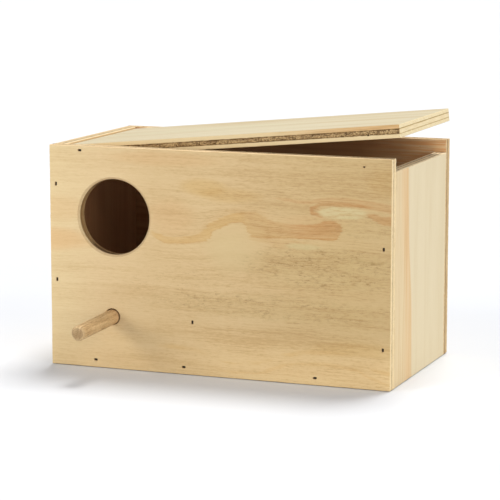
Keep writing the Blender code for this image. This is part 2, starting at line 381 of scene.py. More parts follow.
X, Y, Z = Vector((1, 0, 0)), Vector((0, 1, 0)), Vector((0, 0, 1))
PLACE = {
    "front_panel": axes(X, Z, -Y, front_c),
    "back_panel": axes(-X, Z, Y, back_c),
    "left_side_panel": axes(Z, Y, -X, left_c),
    "right_side_panel": axes(Z, -Y, X, right_c),
    "floor_panel": axes(X, Y, Z, floor_c),
    "nest_divider": axes(Y, Z, X, div_c),
}

# The lid's own frame: its hinge line and its lean come from the joint and its mesh.
joint = frame["joints"][0]
pivot = Vector(joint["pos_m"])
lid_mesh = frame["nodes"]["lid"].data
upper = max((p for p in lid_mesh.polygons if p.normal.z > 0.9), key=lambda p: p.area)
lean = math.atan2(-upper.normal.x, upper.normal.z)
lid_turn = Matrix.Translation(pivot) @ Matrix.Rotation(-lean, 4, "Y")
in_lid = [lid_turn.inverted() @ v.co * 1000 for v in lid_mesh.vertices]
lid_lo = Vector([min(p[i] for p in in_lid) for i in range(3)])
lid_hi = Vector([max(p[i] for p in in_lid) for i in range(3)])
lid_s = lid_hi - lid_lo
PLACE["lid"] = lid_turn @ Matrix.Translation((lid_lo + lid_hi) / 2 * MM)


def slots(behind):
    """Brad slots through the front or the back panel, in that panel's own frame."""
    made = []
    side = "back" if behind else "front"
    place = PLACE[side + "_panel"].inverted()
    names = sorted(n for n in frame["nodes"] if n.startswith(side) and "_brad" in n)
    for i, name in enumerate(names):
        x, z, turned, _ = brad_at(name)
        at = place @ (Vector((x, 0, z)) * MM) * 1000
        made.append(brad_slot(at.x, at.y, turned, 1, 11 + i))
    at = place @ (Vector((LOCK_X, 0, LOCK_Z)) * MM) * 1000
    made.append(brad_slot(at.x, at.y, False, 1, 37, 0.62))
    return made


def at_front(x, z):
    p = PLACE["front_panel"].inverted() @ (Vector((x, 0, z)) * MM) * 1000
    return p.x, p.y


ENTRANCE = at_front(-80.7, 113.4)
PERCH_X, PERCH_Z = -82.7, 39.0
PERCH = at_front(PERCH_X, PERCH_Z)

meshes = {
    "front_panel": panel_mesh("front_panel_ply", front_s.x, front_s.z, slots(False) + [
        bored(*ENTRANCE, 57.0, 5, 0.6, 0.12, 0.95), bored(*PERCH, 11.95, 8, 0.45, 0.06)],
        step=0.7, seed=3, rough_v=0.45),
    "back_panel": panel_mesh("back_panel_ply", back_s.x, back_s.z, slots(True),
                             step=0.9, seed=14, rough_v=0.5),
    "left_side_panel": panel_mesh("left_side_panel_ply", left_s.z, left_s.y,
                                  step=0.9, seed=25, rough_v=0.4),
    "right_side_panel": panel_mesh("right_side_panel_ply", right_s.z, right_s.y,
                                   step=0.8, seed=36, rough_v=0.4),
    "floor_panel": panel_mesh("floor_panel_ply", floor_s.x, floor_s.y,
                              step=1.2, seed=47, rough_v=0.6),
    "nest_divider": panel_mesh("nest_divider_ply", div_s.y, div_s.z,
                               step=1.0, seed=58, rough_v=0.7),
    "lid": panel_mesh("lid_ply", lid_s[0], lid_s[1], step=0.5, seed=69, rough_v=0.6),
}


# ---- blind brad holes in the edges -------------------------------------------
def t_cutter(work, matrix):
    """A brad's hole, head first: local +Y from the surface to the tip (mm)."""
    outline = [(-1.3, -2.0), (1.3, -2.0), (1.3, 1.0), (0.8, 1.5), (0.8, 23.7), (0, 25.2),
               (-0.8, 23.7), (-0.8, 1.5), (-1.3, 1.0)]
    k = len(outline)
    new = []
    for z in (-0.7, 0.7):
        new.append([work.verts.new(matrix @ (Vector((x, y, z)) * MM)) for x, y in outline])
    work.faces.new(new[0][::-1])
    work.faces.new(new[1])
    for i in range(k):
        j = (i + 1) % k
        work.faces.new((new[0][i], new[0][j], new[1][j], new[1][i]))


def brad_matrix(x, z, turned, behind):
    turn = Matrix.Rotation(math.radians(90), 4, "Y") if turned else Matrix.Identity(4)
    y = (back_c.y * 1000 + HALF - BRAD_SUNK) if behind else (front_c.y * 1000 - HALF + BRAD_SUNK)
    flip = Matrix.Rotation(math.radians(180), 4, "Z") if behind else Matrix.Identity(4)
    return Matrix.Translation(Vector((x, y, z)) * MM) @ flip @ turn


def carve(obj, work):
    bmesh.ops.recalc_face_normals(work, faces=work.faces)
    mesh = bpy.data.meshes.new("cutter")
    work.to_mesh(mesh)
    work.free()
    cutter = bpy.data.objects.new("cutter", mesh)
    cutter.matrix_world = Matrix.Identity(4)
    scene.collection.objects.link(cutter)
    boolean = obj.modifiers.new("holes", "BOOLEAN")
    boolean.operation, boolean.solver, boolean.object = "DIFFERENCE", "EXACT", cutter
    bpy.context.view_layer.update()
    graph = bpy.context.evaluated_depsgraph_get()
    carved = bpy.data.meshes.new_from_object(obj.evaluated_get(graph))
    obj.modifiers.clear()
    old = obj.data
    obj.data = carved
    bpy.data.meshes.remove(old)
    bpy.data.objects.remove(cutter)
    bpy.data.meshes.remove(mesh)


pieces = {}
for node, mesh in meshes.items():
    obj = bpy.data.objects.new(node + "_ply", mesh)
    scene.collection.objects.link(obj)
    obj.matrix_world = PLACE[node]
    pieces[node] = obj
bpy.context.view_layer.update()

for part, node in (("left", "left_side_panel"), ("right", "right_side_panel"),
                   ("floor", "floor_panel"), ("divider", "nest_divider")):
    work = bmesh.new()
    for name in sorted(brad_names(part)):
        t_cutter(work, brad_matrix(*brad_at(name)))
    carve(pieces[node], work)

work = bmesh.new()
turn_x = Matrix.Rotation(math.radians(90), 4, "X")
for side in (-1, 1):
    bore = 26.0 + BRAD_SUNK - PLY
    edge = lid_s[1] / 2
    bmesh.ops.create_cone(
        work, cap_ends=True, segments=24, radius1=1.0 * MM, radius2=1.0 * MM,
        depth=(bore + 4) * MM,
        matrix=Matrix.Translation(pivot + Vector((0, side * (edge - (bore - 4) / 2) * MM, 0))) @ turn_x)
for behind in (False, True):
    shut = brad_matrix(LOCK_X, LOCK_Z, False, behind)
    t_cutter(work, Matrix.Translation(pivot) @ Matrix.Rotation(-lean, 4, "Y")
             @ Matrix.Translation(-pivot) @ shut)
carve(pieces["lid"], work)


# ---- perch -------------------------------------------------------------------
def dowel_mesh(name, length=70.0, radius=5.55, sides=72):
    """A turned hardwood dowel about local Z: sawn ends, a worn chamfer, open grain."""
    z = [0.0, 0.15, 0.5, 1.2] + list(np.arange(2.4, length - 3.0, 1.2)) + [
        length - 2.3, length - 1.7, length - 1.15, length - 0.7, length - 0.3, length - 0.08, length]
    z = np.array(z)
    angle = np.arange(sides) * 2 * math.pi / sides
    verts, pits = [], []
    for h in z:
        near_tip, near_foot = length - h, h
        cut = 1.25 * (1 - min(1.0, near_tip / 1.75)) ** 1.35 + 0.5 * (1 - min(1.0, near_foot / 0.5))
        wobble = 0.05 * vnoise(angle * 1.9 + 3, h / 25.0, 5, 2) + 0.03 * vnoise(3 * np.cos(angle), 3 * np.sin(angle) + h / 9.0, 9)
        groove = 0.07 * ramp01(vnoise(angle * 5.2, h / 9.0, 21, 2), 0.60, 0.8)
        dent = 0.16 * ramp01(vnoise(np.cos(angle) * 2 + 7, h / 5.0 + np.sin(angle) * 2, 33), 0.86, 0.97)
        worn = 0.22 * vnoise(angle * 2.6, 4.4, 45, 2) * math.exp(-near_tip / 0.9)
        r = radius - cut - wobble - groove - dent - worn
        verts.append(np.column_stack([r * np.cos(angle), r * np.sin(angle), np.full(sides, h)]))
        pits.append(np.clip(groove / 0.07 * 0.7 + dent * 2, 0, 1))
    index = np.arange(len(z) * sides).reshape(len(z), sides)
    a, b = index[:-1], np.roll(index, -1, axis=1)[:-1]
    c, d = np.roll(index, -1, axis=1)[1:], index[1:]
    faces = np.stack([a, b, c, d], -1).reshape(-1, 4).tolist()
    walls = len(faces)
    verts = np.concatenate(verts)
    pits = np.concatenate(pits)
    # the ends: rings in to the centre, slightly uneven as sawn and sanded
    for last, h, sign in ((index[-1], length, 1), (index[0], 0.0, -1)):
        ring = last
        outer_r = np.linalg.norm(verts[last][:, :2], axis=1)
        for share in (0.84, 0.66, 0.46, 0.24):
            rr = outer_r * share
            low = 0.10 * vnoise(rr * np.cos(angle) * 0.9 + 5, rr * np.sin(angle) * 0.9, 51, 2)
            new = np.column_stack([rr * np.cos(angle), rr * np.sin(angle), h - sign * low])
            start = len(verts)
            verts = np.concatenate([verts, new])
            pits = np.concatenate([pits, np.zeros(sides)])
            nxt = np.arange(start, start + sides)
            for i in range(sides):
                j = (i + 1) % sides
                quad = [int(ring[i]), int(ring[j]), int(nxt[j]), int(nxt[i])]
                faces.append(quad if sign > 0 else quad[::-1])
            ring = nxt
        verts = np.concatenate([verts, [[0, 0, h - sign * 0.05]]])
        pits = np.concatenate([pits, [0]])
        hub = len(verts) - 1
        for i in range(sides):
            j = (i + 1) % sides
            tri = [int(ring[i]), int(ring[j]), hub]
            faces.append(tri if sign > 0 else tri[::-1])
    mesh = bpy.data.meshes.new(name)
    mesh.from_pydata((verts * MM).tolist(), [], faces)
    mesh.validate()
    layer = mesh.attributes.new("pit", "FLOAT", "POINT")
    layer.data.foreach_set("value", pits.astype(np.float32))
    flags = np.zeros(len(mesh.polygons), bool)
    flags[:walls] = True
    mesh.polygons.foreach_set("use_smooth", flags)
    mesh.update()
    return mesh


perch = bpy.data.objects.new("perch_dowel_wood", dowel_mesh("perch_dowel_wood"))
scene.collection.objects.link(perch)
perch.matrix_world = (
    Matrix.Translation(Vector((PERCH_X - 0.35, -72.5, PERCH_Z - 0.35)) * MM)
    @ Matrix.Rotation(math.radians(90 + 1.6), 4, "X")
    @ Matrix.Translation(Vector((0, 0, -11.0 * MM))))
pieces["perch_dowel"] = perch


# ---- material kit ------------------------------------------------------------
class Wire:
    """One value in a material; arithmetic on it adds Math nodes."""

    def __init__(self, kit, socket):
        self.kit, self.socket = kit, socket

    def __add__(self, o): return self.kit.math("ADD", self, o)
    __radd__ = __add__
    def __sub__(self, o): return self.kit.math("SUBTRACT", self, o)
    def __rsub__(self, o): return self.kit.math("SUBTRACT", o, self)
    def __mul__(self, o): return self.kit.math("MULTIPLY", self, o)
    __rmul__ = __mul__
    def __truediv__(self, o): return self.kit.math("DIVIDE", self, o)
    def abs(self): return self.kit.math("ABSOLUTE", self)
    def clamp(self): return self.kit.math("ADD", self, 0.0, clamp=True)
    def low(self, o): return self.kit.math("MINIMUM", self, o)
    def high(self, o): return self.kit.math("MAXIMUM", self, o)
    def power(self, o): return self.kit.math("POWER", self, o)


class Kit:
    """Builds one material's node tree."""

    def __init__(self, name):
        self.material = bpy.data.materials.new(name)
        self.material.use_nodes = True
        self.tree = self.material.node_tree
        self.tree.nodes.clear()
        self.out = self.tree.nodes.new("ShaderNodeOutputMaterial")
        self.bsdf = self.tree.nodes.new("ShaderNodeBsdfPrincipled")
        self.tree.links.new(self.bsdf.outputs["BSDF"], self.out.inputs["Surface"])

    def node(self, kind, **settings):
        made = self.tree.nodes.new(kind)
        for key, value in settings.items():
            setattr(made, key, value)
        return made

    def put(self, socket, value):
        if isinstance(value, Wire):
            self.tree.links.new(value.socket, socket)
        else:
            socket.default_value = value

    def math(self, operation, a, b=None, c=None, clamp=False):
        made = self.node("ShaderNodeMath", operation=operation, use_clamp=clamp)
        for socket, value in zip(made.inputs, (a, b, c)):
            if value is not None:
                self.put(socket, value)
        return Wire(self, made.outputs[0])

    def place(self):
        """Object coordinates in mm, and the surface's own direction."""
        coords = self.node("ShaderNodeTexCoord")
        scaled = self.node("ShaderNodeVectorMath", operation="SCALE")
        self.tree.links.new(coords.outputs["Object"], scaled.inputs[0])
        scaled.inputs["Scale"].default_value = 1000.0
        split = self.node("ShaderNodeSeparateXYZ")
        self.tree.links.new(scaled.outputs[0], split.inputs[0])
        way = self.node("ShaderNodeSeparateXYZ")
        self.tree.links.new(coords.outputs["Normal"], way.inputs[0])
        return ([Wire(self, s) for s in split.outputs], [Wire(self, s) for s in way.outputs])

    def vec(self, x, y, z=0.0):
        made = self.node("ShaderNodeCombineXYZ")
        for socket, value in zip(made.inputs, (x, y, z)):
            self.put(socket, value)
        return Wire(self, made.outputs[0])

    def noise(self, x, y, z=0.0, detail=2.0, rough=0.5, twist=0.0):
        made = self.node("ShaderNodeTexNoise", noise_dimensions="3D")
        self.put(made.inputs["Vector"], self.vec(x, y, z))
        made.inputs["Scale"].default_value = 1.0
        made.inputs["Detail"].default_value = detail
        made.inputs["Roughness"].default_value = rough
        made.inputs["Distortion"].default_value = twist
        return Wire(self, made.outputs[0])

    def cells(self, x, y, z=0.0, randomness=1.0):
        """Distance to the nearest cell point."""
        made = self.node("ShaderNodeTexVoronoi", feature="F1")
        self.put(made.inputs["Vector"], self.vec(x, y, z))
        made.inputs["Scale"].default_value = 1.0
        made.inputs["Randomness"].default_value = randomness
        return Wire(self, made.outputs["Distance"])

    def step(self, x, a, b, low=0.0, high=1.0):
        """Smooth step from a to b (a may be above b)."""
        made = self.node("ShaderNodeMapRange", interpolation_type="SMOOTHSTEP")
        for socket, value in zip(made.inputs, (x, a, b, low, high)):
            self.put(socket, value)
        return Wire(self, made.outputs[0])

    def curve(self, x, points):
        """A smooth line through (x, y) points, level beyond its ends."""
        xs, ys = [p[0] for p in points], [p[1] for p in points]
        x0, x1, y0, y1 = min(xs), max(xs), min(ys), max(ys)
        pad = 0.08 * (y1 - y0) + 1e-6
        y0, y1 = y0 - pad, y1 + pad
        made = self.node("ShaderNodeFloatCurve")
        line = made.mapping.curves[0]
        made.mapping.extend = "HORIZONTAL"
        spots = [((px - x0) / (x1 - x0), (py - y0) / (y1 - y0)) for px, py in points]
        line.points[0].location, line.points[-1].location = spots[0], spots[-1]
        for spot in spots[1:-1]:
            line.points.new(*spot)
        for point in line.points:
            point.handle_type = "AUTO_CLAMPED"
        made.mapping.update()
        self.put(made.inputs["Value"], ((x - x0) * (1.0 / (x1 - x0))).clamp())
        return self.math("MULTIPLY_ADD", Wire(self, made.outputs[0]), y1 - y0, y0)

    def ramp(self, x, stops):
        """Colours (display values) at positions of x."""
        x0, x1 = stops[0][0], stops[-1][0]
        made = self.node("ShaderNodeValToRGB")
        elements = made.color_ramp.elements
        elements[0].position, elements[1].position = 0.0, 1.0
        elements[0].color, elements[1].color = lin(*stops[0][1]), lin(*stops[-1][1])
        for position, colour in stops[1:-1]:
            elements.new((position - x0) / (x1 - x0)).color = lin(*colour)
        self.put(made.inputs[0], (x - x0) * (1.0 / (x1 - x0)))
        return Wire(self, made.outputs[0])

    def mix(self, amount, a, b, blend="MIX"):
        made = self.node("ShaderNodeMix", data_type="RGBA", blend_type=blend)
        self.put(made.inputs[0], amount)
        self.put(made.inputs[6], a)
        self.put(made.inputs[7], b)
        return Wire(self, made.outputs[2])

    def tint(self, colour, amount, r, g, b):
        """Multiply a colour by (r, g, b) where amount is 1."""
        return self.mix(amount, colour, (r, g, b, 1.0), "MULTIPLY")

    def blob(self, x, y, cx, cy, rx, ry, soft=0.5):
        """1 inside an ellipse, 0 outside, with a soft rim."""
        a, b = (x - cx) * (1.0 / rx), (y - cy) * (1.0 / ry)
        return self.step((a * a + b * b), 1.0 + soft, max(0.0, 1.0 - soft))

    def pit(self):
        made = self.node("ShaderNodeAttribute", attribute_name="pit")
        return Wire(self, made.outputs["Fac"])

    def bump(self, height, distance, strength=1.0):
        made = self.node("ShaderNodeBump")
        made.inputs["Strength"].default_value = strength
        made.inputs["Distance"].default_value = distance
        self.put(made.inputs["Height"], height)
        self.tree.links.new(made.outputs[0], self.bsdf.inputs["Normal"])

    def finish(self, colour, roughness, specular=0.35):
        self.put(self.bsdf.inputs["Base Color"], colour)
        self.put(self.bsdf.inputs["Roughness"], roughness)
        self.bsdf.inputs["Specular IOR Level"].default_value = specular
        return self.material


def plywood(name, face, edges, seed, dim_inside=1.0):
    """Bare three-ply sheet.

    face(kit, u, v, w) returns (colour, height) of the sheet's two faces.
    edges gives display colours: veneer_long, veneer_end, core_end, core_dark and
    core_long, each a pair of light and dark.
    """
    k = Kit(name)
    (u, v, w), (nu, nv, nw) = k.place()
    across = w.abs()
    flat = k.step(nw.abs(), 0.62, 0.86)
    end = k.step(nu.abs() - nv.abs(), -0.12, 0.12)
    torn = k.pit()

    colour, height = face(k, u, v, w)

    wobble = (k.noise(u * 0.25, v * 0.25, seed, 1.0) - 0.5) * 0.22
    core = k.step(across + wobble, CORE + 0.07, CORE - 0.07)
    # plies seen along their grain
    long_n = k.noise(u * 0.035, v * 0.035, w * 2.4 + seed, 3.0, 0.6)
    veneer_long = k.mix(k.step(long_n, 0.38, 0.62), lin(*edges["veneer_long"][0]), lin(*edges["veneer_long"][1]))
    core_l = k.noise(v * 0.05, w * 2.1, seed + 3.0, 3.0, 0.6)
    core_long = k.mix(k.step(core_l, 0.36, 0.64), lin(*edges["core_long"][0]), lin(*edges["core_long"][1]))
    # plies seen at their ends: fine cells, tilted growth rings
    cell_v = k.noise(v * 1.7, w * 1.9, seed + 5.0, 3.0, 0.65)
    rings_v = k.noise((v + w * 1.5) * 0.45, w * 0.25, seed + 7.0, 2.0)
    veneer_end = k.mix(k.step(cell_v * 0.6 + rings_v * 0.4, 0.40, 0.60),
                       lin(*edges["veneer_end"][0]), lin(*edges["veneer_end"][1]))
    cell_u = k.noise(u * 1.45, w * 1.55, seed + 9.0, 3.0, 0.7)
    patch = k.noise(u * 0.12, w * 0.35, seed + 11.0, 2.0)
    beside = k.step((across - 1.45).abs(), 0.55, 0.1)
    grain = cell_u * 0.72 + patch * 0.28
    core_end = k.mix(k.step(grain - beside * 0.045, 0.55, 0.41),
                     lin(*edges["core_end"][0]), lin(*edges["core_end"][1]))
    speck = k.step(k.noise(u * 0.95, w * 1.1, seed + 15.0, 4.0, 0.75), 0.53, 0.63)
    core_end = k.mix(speck * 0.80, core_end, lin(*edges["core_dark"]))
    core_end = k.mix((torn * 0.9).clamp(), core_end, lin(*edges["core_dark"]))
    veneer = k.mix(end, veneer_long, veneer_end)
    if "pale_from" in edges:                            # the upper veneer warms along the edge
        near, far, shade = edges["pale_from"]
        pale = k.step(u + (long_n - 0.5) * 60.0, near, far).high(k.step(w, 0.5, -0.5))
        veneer = k.mix(pale * (1.0 - end) * 0.85, veneer, lin(*shade))
    heart = k.mix(end, core_end, core_long)
    edge = k.mix(core, veneer, heart)
    seam = k.step((across + wobble - CORE).abs(), edges["seam_width"], 0.04) * k.step(
        k.noise(u * 0.22, v * 0.22, w * 0.5 + seed, 2.0), 0.26, 0.56)
    edge = k.mix(seam * 0.8, edge, lin(*edges["seam"]))
    for where, half, shade in edges.get("stain", ()):
        streak = k.step(k.noise(u * 0.10, v * 0.10, w * 0.9 + seed + where, 3.0, 0.6), 0.22, 0.52)
        line = k.step((w + wobble * 2.0 - where).abs(), half, half * 0.35) * end * streak
        edge = k.mix(line * 0.85, edge, lin(*shade))
    # Where pit is high the edge darkens: torn grain, and painted shade on the walls of bores and brad slots.
    edge = k.tint(edge, (torn * (1.0 - core)).clamp(), 0.42, 0.31, 0.22)
    edge = k.tint(edge, k.step(torn, 0.55, 0.90) * core * end, 0.46, 0.36, 0.26)   # the wall of a bore, burnished and painted with shade
    colour = k.mix(flat, edge, k.tint(colour, (torn * 0.8).clamp(), 0.40, 0.30, 0.24))

    edge_height = k.mix(core, long_n * 0.5, cell_u * (1.0 - end) + core_l * end)
    high = k.mix(flat, edge_height, height)
    k.bump(high, 0.00022, 0.55)
    rough = k.step(height, 0.3, 0.7, 0.60, 0.74)
    return k.finish(colour, rough, 0.28)


EDGES = {
    "veneer_long": ((240, 216, 172), (216, 186, 138)),
    "veneer_end": ((236, 212, 166), (208, 176, 126)),
    "core_long": ((232, 206, 160), (208, 178, 130)),
    "core_end": ((208, 182, 140), (150, 118, 78)),
    "core_dark": (84, 58, 30),
    "seam": (120, 90, 56),
    "seam_width": 0.28,
}
LID_EDGES = dict(EDGES, veneer_long=((216, 178, 127), (194, 155, 102)),
                 core_end=((199, 168, 117), (113, 82, 44)), core_dark=(76, 50, 22),
                 veneer_end=((239, 224, 184), (226, 203, 156)),
                 core_long=((240, 223, 182), (226, 202, 154)), seam=(128, 98, 50), seam_width=0.45,
                 stain=((CORE, 0.58, (176, 146, 86)), (-CORE, 0.48, (194, 164, 106))),
                 pale_from=(105.0, 10.0, (226, 206, 162)))
SIDE_EDGES = dict(EDGES, seam=(122, 96, 60), seam_width=0.40, veneer_end=((234, 214, 174), (217, 192, 147)),
                  core_long=((220, 195, 151), (197, 168, 121)),
                  stain=((CORE, 0.62, (146, 116, 74)), (-CORE, 0.85, (104, 78, 44))))
FRONT_EDGES = dict(EDGES, veneer_end=((246, 225, 179), (231, 205, 155)), core_long=((243, 221, 175), (229, 201, 151)),
                   stain=((0.6, 0.85, (180, 150, 106)),))
# The right panel's edges are painted paler than the others: painted light on its top edge, which lies in the lid's
# shadow.
RIGHT_EDGES_PAINTED_LIGHT = dict(SIDE_EDGES, seam_width=0.34, core_long=((252, 234, 196), (236, 212, 168)),
                   veneer_end=((252, 236, 200), (236, 214, 172)),
                   stain=((CORE, 0.50, (140, 110, 68)), (-CORE, 0.62, (100, 74, 40))))
BACK_EDGES = dict(EDGES, seam=(120, 86, 46), seam_width=0.45, core_long=((214, 184, 136), (186, 150, 100)),
                  veneer_end=((230, 206, 160), (204, 172, 122)), stain=((-2.4, 1.15, (124, 94, 54)),))


def fibres(k, u, v, seed):
    """Fine fibres along u: a pale-dark streak field and its relief."""
    return k.noise(u * 0.11, v * 2.6, seed, 3.0, 0.65)


# Inner faces: darker, redder copies of the veneer, painted shade for the inside of the box.
SHADED_INNER = [(204, 168, 120), (188, 148, 100), (168, 126, 80)]
SHADED_NEST = [(194, 145, 100), (186, 135, 92), (176, 124, 82)]


def plain_face(palette, seed, warp=16.0, pitch=3.2, strength=1.0, inside=None):
    """A face veneer with a quiet flat-sawn figure.

    palette: display colours from pale early wood to darker late wood; inside is a darker,
    redder copy of the veneer for the panel's inner face, painted shade for the inside of the box.
    """
    def face(k, u, v, w):
        side = k.step(w, -0.5, 0.5)
        shift = side * 37.0 + seed
        bend = (k.noise(u * 0.009, v * 0.028, shift, 1.5) - 0.5) * warp
        t = v + bend + (k.noise(u * 0.05, v * 0.16, shift + 4.0, 1.0) - 0.5) * 1.6
        broad = k.noise(u * 0.006, t * 0.055, shift + 9.0, 2.0)
        ring = k.noise(u * 0.005, t / pitch, shift + 13.0, 3.0, 0.62)
        thin = k.noise(u * 0.016, t * 1.15, shift + 19.0, 2.0, 0.6)
        hair = fibres(k, u, v, shift + 23.0)
        tone = broad * 0.42 + ring * 0.36 * strength + thin * 0.14 + hair * 0.08 + 0.36 * (1 - strength) * 0.5

        def shades(colours):
            return k.ramp(tone, [(0.36 + 0.28 * i / (len(colours) - 1), c) for i, c in enumerate(colours)])

        colour = shades(palette)
        if inside:
            colour = k.mix(side, shades(inside), colour)
        pore = k.step(k.noise(u * 0.16, v * 1.9, shift + 31.0, 2.0, 0.6), 0.66, 0.78)
        colour = k.tint(colour, pore * 0.35, 0.78, 0.70, 0.60)
        colour = k.tint(colour, k.step(hair, 0.35, 0.68) * 0.10, 0.86, 0.80, 0.72)
        return colour, hair * 0.7 + ring * 0.3 - pore * 0.3
    return face


# ---- the front face ----------------------------------------------------------
def front_face(k, u, v, w):
    x, z = u + 132.5, v + 82.5
    n1 = k.noise(x * 0.040, z * 0.11, 0.3, 2.0) - 0.5
    n2 = k.noise(x * 0.15, z * 0.42, 4.1, 2.0) - 0.5
    zw = z + n1 * 1.5 + n2 * 0.5
    xw = x + (k.noise(x * 0.06, z * 0.2, 8.2, 2.0) - 0.5) * 9.0

    # lines that the layers of growth follow
    low = k.curve(x, [(0, 14), (60, 16), (95, 20), (130, 15), (150, 12), (170, 15), (190, 21),
                      (215, 24), (235, 23), (248, 17), (265, 12)])
    ridge = k.curve(x, [(0, 94), (25, 101), (55, 107), (83, 103), (95, 99), (110, 100), (122, 102),
                        (130, 109), (141, 115.5), (153, 118.5), (175, 114), (200, 111), (228, 113),
                        (265, 110)])
    arch = k.curve(x, [(0, 131), (60, 134), (110, 133), (145, 131), (178, 133), (200, 131.5),
                       (222, 134), (245, 132.5), (265, 129.5)])
    t = ((zw / low).clamp() * 15.0 + ((zw - low) / (ridge - low)).clamp() * 88.0
         + ((zw - ridge) / (arch - ridge)).clamp() * 27.0 + ((zw - arch) / (165.0 - arch)).clamp() * 35.0)

    s = z + (t - z) * k.step(z, 60.0, 104.0, 0.08, 0.42)
    broad = k.noise(x * 0.010, s * 0.085, 3.3, 2.0)
    ring = k.noise(x * 0.010, s * 0.42, 1.7, 3.0, 0.62)
    thin = k.noise(x * 0.034, s * 1.15, 9.2, 3.0, 0.65)
    hair = k.noise(x * 0.105, z * 2.2, 6.6, 4.0, 0.7)
    tick = k.noise(x * 0.20, z * 0.90, 2.9, 4.0, 0.75)

    # Lighter towards the left: partly the wood's tone, partly painted light from the key's side.
    base = k.ramp(x, [(0, (224, 199, 151)), (12, (221, 196, 149)), (40, (218, 191, 145)),
                      (85, (209, 181, 134)), (120, (207, 179, 132)), (150, (205, 177, 130)),
                      (190, (200, 172, 124)), (235, (196, 168, 119)), (265, (194, 166, 118))])
    # Painted light: the foot of the front is paler, standing in for light bounced up off the floor.
    foot = k.step(zw, 44.0, 4.0)
    base = k.mix(foot * k.step(x, 60.0, 220.0, 0.35, 0.80), base, lin(233, 202, 149))

    busy = k.step(x, 30.0, 160.0, 0.62, 1.30)
    calm = k.blob(xw, zw, 147, 97, 22, 18, 0.9)
    busy = busy * (1.0 - calm * 0.75)
    dark = ((broad - 0.5) * 0.60 + (ring - 0.5) * 0.34 + (thin - 0.5) * 0.50 + (hair - 0.5) * 0.40
            + (tick - 0.5) * 0.62) * busy
    colour = k.tint(base, k.step(dark, -0.04, 0.24), 0.875, 0.825, 0.76)
    colour = k.tint(colour, k.step(dark, 0.04, -0.24), 1.055, 1.085, 1.125)
    colour = k.tint(colour, k.step(tick * 0.5 + hair * 0.5, 0.53, 0.66) * 0.30 * busy, 0.80, 0.74, 0.66)
    colour = k.mix(calm * 0.36, colour, lin(212, 190, 143))

    # warm washes
    def wash(colour, cx, cz, rx, rz, amount, tone, soft=0.9):
        return k.tint(colour, k.blob(xw, zw, cx, cz, rx, rz, soft) * amount, *tone)

    pink, gold, green = (0.97, 0.865, 0.79), (0.96, 0.90, 0.76), (0.955, 0.985, 0.95)
    colour = wash(colour, 2, 95, 28, 8, 0.95, (0.965, 0.85, 0.765))
    colour = wash(colour, 8, 118, 18, 9, 0.45, pink)
    colour = wash(colour, 92, 158, 40, 5, 0.55, pink)
    colour = wash(colour, 97, 116, 18, 12, 0.50, pink)
    colour = wash(colour, 122, 139, 16, 6, 0.85, gold)
    colour = wash(colour, 143, 134, 22, 5, 0.70, gold)
    colour = wash(colour, 143, 92, 16, 14, 0.55, (0.985, 1.01, 1.0))
    colour = wash(colour, 30, 70, 36, 14, 0.40, (1.02, 1.03, 1.05))
    colour = wash(colour, 262, 148, 14, 10, 0.45, gold)

    # the ridge: a narrow band that swells into a reddish tongue; its edges follow the fibres
    finger = k.noise(x * 0.035, z * 0.95, 31.0, 3.0, 0.65) - 0.5
    xj = x + finger * 12.0
    lower = k.curve(xj, [(80, 102.5), (88, 98.8), (95, 96.8), (110, 97.8), (121, 99.0), (127, 102.8),
                        (131, 106.8), (141, 112.4), (151, 115.2), (156, 112), (160, 106.0), (165, 105.0),
                        (190, 105.6), (221, 106), (226, 109), (229, 113.4)])
    upper = k.curve(xj, [(80, 104.8), (88, 103), (95, 101.2), (110, 102.4), (121, 105.6), (126, 111.2),
                        (133, 115.8), (141, 119.4), (151, 122.2), (160, 123.0), (170, 119.8),
                        (180, 116.6), (190, 115.6), (200, 115.8), (210, 117), (220, 119.4), (226, 117.8),
                        (229, 113.6)])
    n3 = k.noise(x * 0.42, z * 1.1, 11.3, 2.0, 0.6) - 0.5
    ze = z + n2 * 1.5 + n1 * 0.9 + n3 * 1.3 + (thin - 0.5) * 2.2
    band = (k.step(ze - lower, -0.35, 0.55) * k.step(ze - upper, 0.7, -0.4)
            * k.step(x, 79.0, 86.0) * k.step(xj, 229.5, 227.5))
    rim = (k.step((ze - lower).abs(), 0.95, 0.2)) * k.step(x, 80.0, 90.0) * k.step(x, 229.0, 225.0)
    red = k.step(xw + n1 * 30.0, 168.0, 205.0)
    tongue = k.step(x, 150.0, 162.0)
    uneven = k.step(thin * 0.6 + hair * 0.4, 0.36, 0.60, 0.55, 1.0)
    colour = k.tint(colour, band * (1.0 - tongue) * uneven, 0.955, 0.855, 0.675)
    colour = k.tint(colour, band * tongue * (1.0 - red * 0.4) * uneven, 0.925, 0.84, 0.725)
    colour = k.tint(colour, band * tongue * red * uneven, 0.935, 0.79, 0.69)
    colour = k.tint(colour, rim * 0.65, 0.91, 0.80, 0.65)
    blush = k.blob(xw, ze, 206, 118, 22, 4.5, 0.8)
    colour = k.tint(colour, blush * 0.55, 0.985, 0.90, 0.85)
    halo = k.step((ze - upper - 2.2).abs(), 3.4, 0.4) * k.step(x, 82.0, 95.0) * k.step(x, 200.0, 160.0)
    colour = k.tint(colour, halo * 0.30, 0.97, 0.90, 0.82)
    spur_low = k.curve(xj, [(156, 103.8), (165, 101.4), (174, 99.4), (181, 97.4), (187, 97.6), (189, 100)])
    spur = (k.step(ze - spur_low, -0.4, 0.7) * k.step(ze, 106.4, 104.8)
            * k.step(x, 155.0, 160.0) * k.step(xj, 189.5, 187.0))
    colour = k.tint(colour, spur * 0.45 * uneven, 0.96, 0.86, 0.77)
    colour = k.mix(k.blob(xj, ze, 199, 100.2, 13, 2.2, 0.5) * 0.6, colour, lin(201, 184, 136))
    barb = k.step((ze - 102.6 + (x - 196.0) * 0.02).abs(), 1.5, 0.3) * k.step(x, 186.0, 190.0) * k.step(x, 208.0, 200.0)
    colour = k.tint(colour, barb * 0.7, 0.95, 0.86, 0.78)

